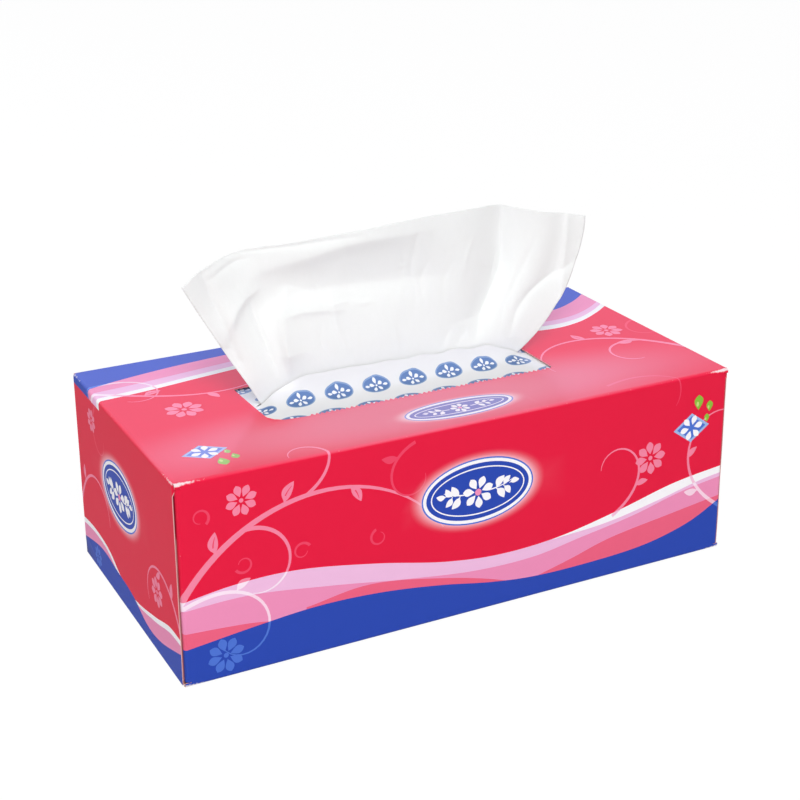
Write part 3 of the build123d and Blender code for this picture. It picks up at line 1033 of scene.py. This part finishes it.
# Drawn sheet: one two-ply tissue, half out of the carton. It stands up through the film's slit in
# soft upright folds and flares to its top edge, and its other half lies back over the stack and
# is folded under itself there.
sheet_length, sheet_width = 210.0, 200.0
sheet_thickness = 0.22
drawn_paper_white = "F3F5F4"
drawn_rise = 62.0
foot_left, foot_right = slit_left + 1.5, slit_right - 5.5
spread_left, spread_right = 27.5, 37.0
lean_depth = 6.5
fold_depth = 6.0
fold_start_share, fold_growth_share = 0.13, 0.15
ridge_count, fine_crease_count = 26, 22
left_corner_share, right_corner_share = 0.79, 0.835
rise_shares = (0, 0.13, 0.25, 0.4, 0.55, 0.7, 0.85, 1.06)
lean_shares = (0, 0, 0.22, 0.62, 0.9, 1.0, 1.0, 0.92)
fold_shares = (  # place at the foot, place at the top, half width, depth
    (0.02, 0.02, 0.06, -0.8), (0.12, 0.18, 0.06, 0.8), (0.38, 0.42, 0.2, -0.7),
    (0.8, 0.8, 0.07, 1.0), (0.86, 0.88, 0.04, -0.5), (0.94, 0.97, 0.04, 0.2),
)
top_edge_shares = (
    (0, left_corner_share), (0.03, 0.85), (0.083, 0.9), (0.17, 0.935), (0.28, 0.962),
    (0.39, 0.985), (0.55, 1.0), (0.75, 0.975), (0.93, 0.88), (1, right_corner_share),
)
bend_radius = 3.15
upper_layer, under_layer = 67.3, 66.8
over_layer = upper_layer + 0.36
bend_top = upper_layer + bend_radius
turn_y = 48.5
under_end = -26.3
columns, rows = 220, 124
top_left = foot_left - spread_left
top_width = foot_right + spread_right - top_left
edge_line = np.array(smooth_line(top_edge_shares, 12))


def sheet_sides(rise):
    """The sheet's left and right edges at a rise."""
    left = foot_left - spread_left * rise / left_corner_share
    right = foot_right + spread_right * (1 - (1 - rise / right_corner_share) ** 2)
    return left, right


def fold_offset(across, rise):
    """How far the folds push the sheet back."""
    grown = np.maximum(0, rise - fold_start_share) / (1 - fold_start_share)
    offset = 0
    for foot_place, top_place, half_width, depth in fold_shares:
        middle = foot_place + (top_place - foot_place) * grown
        offset = offset + depth * 2 ** -(((across - middle) / half_width) ** 2)
    return fold_depth * grown * offset


# Creases: each is a line through (x, z) points from its top down, with its depth, its half widths
# to the left and to the right, and how sharp it is. A depth below zero stands forward.
creases = (
    (((-83, 138), (-80.8, 130), (-77.4, 121), (-73.9, 111.5), (-69.3, 97), (-64, 84)),
     3.4, 8.0, 2.6, 1.2),
    (((-74, 101), (-71.8, 108), (-69, 113), (-65, 117), (-56, 121)), -2.4, 2.6, 6.0, 1.3),
    (((26, 115), (-7, 116.5), (-33, 117.5), (-47, 116.4), (-57, 113), (-66, 106)),
     3.4, 12.0, 6.0, 1.7),
    (((14, 134), (-20, 134.5), (-40, 131), (-56, 127), (-66, 121)), -1.8, 5.0, 4.0, 1.6),
    (((-63, 120), (-60, 109), (-57.3, 100.2), (-55, 90), (-53, 81)), 1.7, 1.6, 1.1, 1.15),
    (((-46, 120), (-50.3, 109), (-51.4, 101.8), (-51, 95), (-49, 80)), -4.6, 1.8, 8.0, 1.1),
    (((-54, 108.5), (-42.1, 109.8), (-24, 108.2)), -1.3, 1.5, 5.0, 1.3),
    (((48, 146), (49, 126), (49, 114), (45.5, 106.2), (40, 99.2), (34.5, 92.8), (25, 81),
      (18, 70)), 6.4, 9.0, 2.0, 1.2),
    (((82, 113), (69, 107.5), (57, 101.5), (48.5, 93), (42, 78)), 1.9, 2.8, 1.5, 1.15),
    (((76, 138), (74.4, 122), (73, 110), (69, 94)), -1.8, 1.2, 4.0, 1.15),
    (((-84, 128), (-79.4, 131.2), (-70.3, 134.4), (-59.9, 135.2), (-48, 135.9), (-34.6, 136.6),
      (-16, 137)), 0.9, 1.4, 1.2, 1.3),
    (((-80, 127), (-67.8, 131.6), (-57, 132.8)), 0.8, 1.8, 1.2, 1.3),
    (((62, 126), (54, 110), (45, 98), (38, 84)), 0.7, 1.4, 1.0, 1.2),
    (((20, 94), (16.2, 88.9), (14, 82)), 0.9, 2.6, 0.9, 1.2),
    (((28, 92), (21.8, 87.2), (19, 81)), 0.9, 2.6, 0.9, 1.2),
)

# Fine creases, as in any soft paper, and the same on each run.
fine_source = random.Random(23)
fine_creases = ()
for _ in range(fine_crease_count):
    at_foot = fine_source.uniform(-62, 48)
    low = carton_height + fine_source.choice((2, 2, 12, 26, 34))
    high = low + fine_source.uniform(12, 30)
    spread = (1.0 + 0.011 * (low - carton_height), 1.0 + 0.011 * (high - carton_height))
    middle = (at_foot * sum(spread) / 2 + fine_source.uniform(-1.5, 1.5), (low + high) / 2)
    top = (at_foot * spread[1] + fine_source.uniform(-3, 3), high)
    knots = (top, middle, (at_foot * spread[0], low))
    depth = fine_source.choice((-1, 1)) * fine_source.uniform(0.2, 0.5)
    left_width, right_width = fine_source.uniform(0.8, 1.8), fine_source.uniform(0.7, 1.2)
    fine_creases += ((knots, depth, left_width, right_width, 1.3),)


def crease_offset(x, z):
    """How far the creases push the sheet back."""
    offset = np.zeros_like(x)
    for knots, depth, left_width, right_width, sharpness in creases + fine_creases:
        line = np.array(smooth_line(knots, 5))
        lengths = np.hypot(*np.diff(line, axis=0).T)
        away = np.full_like(x, 1e9)
        share, side = np.zeros_like(x), np.zeros_like(x)
        for i, length in enumerate(lengths):
            ahead = (line[i + 1] - line[i]) / length
            run = np.clip((x - line[i, 0]) * ahead[0] + (z - line[i, 1]) * ahead[1], 0, length)
            gap = np.hypot(x - line[i, 0] - run * ahead[0], z - line[i, 1] - run * ahead[1])
            nearer = gap < away
            share = np.where(nearer, (lengths[:i].sum() + run) / lengths.sum(), share)
            beyond = ahead[0] * (z - line[i, 1]) - ahead[1] * (x - line[i, 0])
            side = np.where(nearer, beyond, side)
            away = np.minimum(away, gap)
        fade = np.sin(math.pi * np.clip(share, 0, 1)) ** 0.8
        half_width = np.where(side > 0, right_width, left_width)
        offset += depth * fade * np.exp(-((away / half_width) ** sharpness))
    return offset


across = np.linspace(0, 1, columns + 1)[None, :]
up = np.linspace(0, 1, rows + 1)[:, None]
top_rise = np.ones((1, columns + 1))
for _ in range(12):
    left, right = sheet_sides(top_rise)
    top_x = left + (right - left) * across
    top_rise = np.interp((top_x - top_left) / top_width, edge_line[:, 0], edge_line[:, 1])
rise = top_rise * up
left, right = sheet_sides(rise)
sheet_x = left + (right - left) * across
sheet_z = carton_height + drawn_rise * rise
lean_line = np.array(smooth_line(tuple(zip(rise_shares, lean_shares)), 12))
lean = np.interp(rise, lean_line[:, 0], lean_line[:, 1])
grown = np.clip((rise - fold_start_share) / fold_growth_share, 0, 1)
ridge_source = random.Random(11)
ridges = np.zeros_like(rise)
for _ in range(ridge_count):
    place_at_foot = ridge_source.uniform(0, 1)
    middle = place_at_foot + (ridge_source.gauss(0, 0.05) + 0.06 * (place_at_foot - 0.5)) * rise
    low, high = sorted(ridge_source.uniform(-0.1, 1.15) for _ in range(2))
    window = np.sin(math.pi * np.clip((rise - low) / (high - low), 0, 1)) ** 2
    half_width = ridge_source.uniform(0.012, 0.04)
    depth = ridge_source.choice((-1, 1)) * ridge_source.uniform(0.2, 0.45) * half_width / 0.03
    ridges += depth * window * np.exp(-(((across - middle) / half_width) ** 2))
limp = 0.5 * np.sin(across * 21 + 0.7) * np.clip((rise - 0.75) / 0.25, 0, 1) ** 2
sheet_y = (
    opening_y + lean_depth * lean + fold_offset(across, rise)
    + grown * (crease_offset(sheet_x, sheet_z) + ridges + limp)
)
drawn_rows = np.stack([sheet_x, sheet_y, sheet_z], -1)

# Below the panel the sheet bends back over the stack, spreads to its full length, turns at the
# stack's back edge and comes forward again under itself.
foot_x = np.linspace(foot_left, foot_right, columns + 1)
full_x = np.linspace(-sheet_length / 2, sheet_length / 2, columns + 1)
bend_y = opening_y + bend_radius
turn_radius = (over_layer - under_layer) / 2
tail_rows = [(foot_x, opening_y, z) for z in np.linspace(carton_height, bend_top, 6)[1:]]
for step in range(1, 9):
    angle = math.pi / 2 * step / 8
    y = bend_y - bend_radius * math.cos(angle)
    tail_rows.append((foot_x, y, bend_top - bend_radius * math.sin(angle)))
for step in range(1, 25):
    t = step / 24
    ripple = 0.35 * np.sin(full_x * 0.16 + 2.2 * t) * math.sin(math.pi * t) ** 2
    x = foot_x + (full_x - foot_x) * t
    tail_rows.append((x, bend_y + (turn_y - bend_y) * t, over_layer + ripple))
for step in range(1, 9):
    angle = math.pi * step / 8
    y = turn_y + turn_radius * math.sin(angle)
    tail_rows.append((full_x, y, under_layer + turn_radius * (1 + math.cos(angle))))
for step in range(1, 17):
    tail_rows.append((full_x, turn_y + (under_end - turn_y) * step / 16, under_layer))
tail = np.array([np.column_stack(np.broadcast_arrays(*row)) for row in tail_rows])
all_rows = np.concatenate([drawn_rows[::-1], tail])
count = columns + 1
quads = [
    (r * count + c, r * count + c + 1, (r + 1) * count + c + 1, (r + 1) * count + c)
    for r in range(len(all_rows) - 1)
    for c in range(columns)
]
sheet_mesh = bpy.data.meshes.new("drawn_sheet")
sheet_mesh.from_pydata((all_rows.reshape(-1, 3) * mm).tolist(), [], quads)
sheet_mesh.polygons.foreach_set("use_smooth", [True] * len(quads))
sheet_mesh.materials.append(tissue_material("drawn_paper", drawn_paper_white))
drawn_sheet = place("drawn_sheet", sheet_mesh, "pulled_tissue")
ply = drawn_sheet.modifiers.new("two_ply", "SOLIDIFY")
ply.thickness = sheet_thickness * mm
ply.offset = 0.0

# Table and light: a pale table, a large soft light at the front left and a weak one behind.
floor_reach = 3
floor_corners = rectangle(-floor_reach, -floor_reach, floor_reach, floor_reach)
floor_mesh = bpy.data.meshes.new("table_top")
floor_mesh.from_pydata([(x, y, 0) for x, y in floor_corners], [], [(0, 1, 2, 3)])
table_top = in_scene("table_top", floor_mesh)
table_paint, table_tree, table_shader = surface("pale_table")
feed(table_shader, Base_Color=(0.86, 0.86, 0.86, 1.0), Roughness=0.9, Specular_IOR_Level=0.1)
# The camera sees the table nearly white, and the varnish mirrors it at half its light.
table_ray = put(table_tree, "ShaderNodeLightPath").outputs
glow, dark = (
    put(table_tree, "ShaderNodeEmission", {"Color": (shade, shade, shade, 1.0), "Strength": power})
    for shade, power in ((1.0, 1.05), (0.0, 0.0))
)
mirrored_floor = output("ShaderNodeMixShader", {
    0: reckon("MULTIPLY", table_ray["Is Glossy Ray"], 0.5),
    1: table_shader.outputs[0], 2: dark.outputs[0]})
table_mix = output("ShaderNodeMixShader", {
    0: reckon("MULTIPLY", table_ray["Is Camera Ray"], 0.88),
    1: mirrored_floor, 2: glow.outputs[0]})
table_tree.links.new(table_mix, table_tree.nodes["Material Output"].inputs["Surface"])
floor_mesh.materials.append(table_paint)

# The world is white to the camera, weak to the matt surfaces, and to the varnish a bright bluish
# wall above a dimmer foot.
world = bpy.data.worlds.new("studio")
bpy.context.scene.world = world
world.use_nodes = True
studio = world.node_tree
backdrop = studio.nodes["Background"]
path = put(studio, "ShaderNodeLightPath").outputs
facing = put(studio, "ShaderNodeTexCoord").outputs["Generated"]
towards = put(studio, "ShaderNodeSeparateXYZ", {0: facing})
wall_light = graded(towards.outputs["Z"], 0.32, 0.41, 0.7, 3.6)
seen_or_through = reckon("MAXIMUM", path["Is Camera Ray"], path["Is Transmission Ray"])
matt_level = 0.46
diffuse_or_gloss = output("ShaderNodeMix", {
    0: path["Is Glossy Ray"], 2: matt_level, 3: wall_light}, data_type="FLOAT")
wall_level = output("ShaderNodeMix", {
    0: seen_or_through, 2: diffuse_or_gloss, 3: 1.0}, data_type="FLOAT")
studio.links.new(wall_level, backdrop.inputs["Strength"])
wall_tint = blended(path["Is Glossy Ray"], (1.0, 1.0, 1.0, 1.0), (0.82, 0.86, 1.12, 1.0))
studio.links.new(wall_tint, backdrop.inputs["Color"])


def softbox(name, at, size, watts):
    """A large square lamp turned to the carton."""
    lamp = bpy.data.lights.new(name, "AREA")
    lamp.size = size
    lamp.energy = watts
    made = in_scene(name, lamp)
    made.location = at
    made.rotation_euler = (Vector((0, 0, 0.06)) - Vector(at)).to_track_quat("-Z", "Y").to_euler()


softbox("key", (-0.42, -1.2, 1.3), 0.7, 17.6)
softbox("back", (-1.0, 1.2, 0.7), 0.9, 4.5)

# Camera: as in the photograph, from the front left and a little above.
azimuth, elevation, roll = (math.radians(angle) for angle in (-26.883, 19.374, -0.414))
camera_at = (-0.269835, -0.531927, 0.308679)
focal_pixels, photo_pixels, sensor_width = 1628.74, 800, 36.0
level_way = math.cos(elevation)
back = Vector((math.sin(azimuth) * level_way, -math.cos(azimuth) * level_way, math.sin(elevation)))
right_way = Vector((0, 0, 1)).cross(back).normalized()
up_way = back.cross(right_way)
camera_right = math.cos(roll) * right_way + math.sin(roll) * up_way
camera_up = math.cos(roll) * up_way - math.sin(roll) * right_way
camera = in_scene("camera", bpy.data.cameras.new("camera"))
turned = Matrix((camera_right, camera_up, back)).transposed().to_4x4()
camera.matrix_world = Matrix.Translation(camera_at) @ turned
camera.data.sensor_width = sensor_width
camera.data.lens = focal_pixels / photo_pixels * sensor_width
camera.data.shift_y = -0.1
camera.data.clip_start = 0.01
bpy.context.scene.camera = camera
bpy.context.scene.view_settings.view_transform = "Standard"
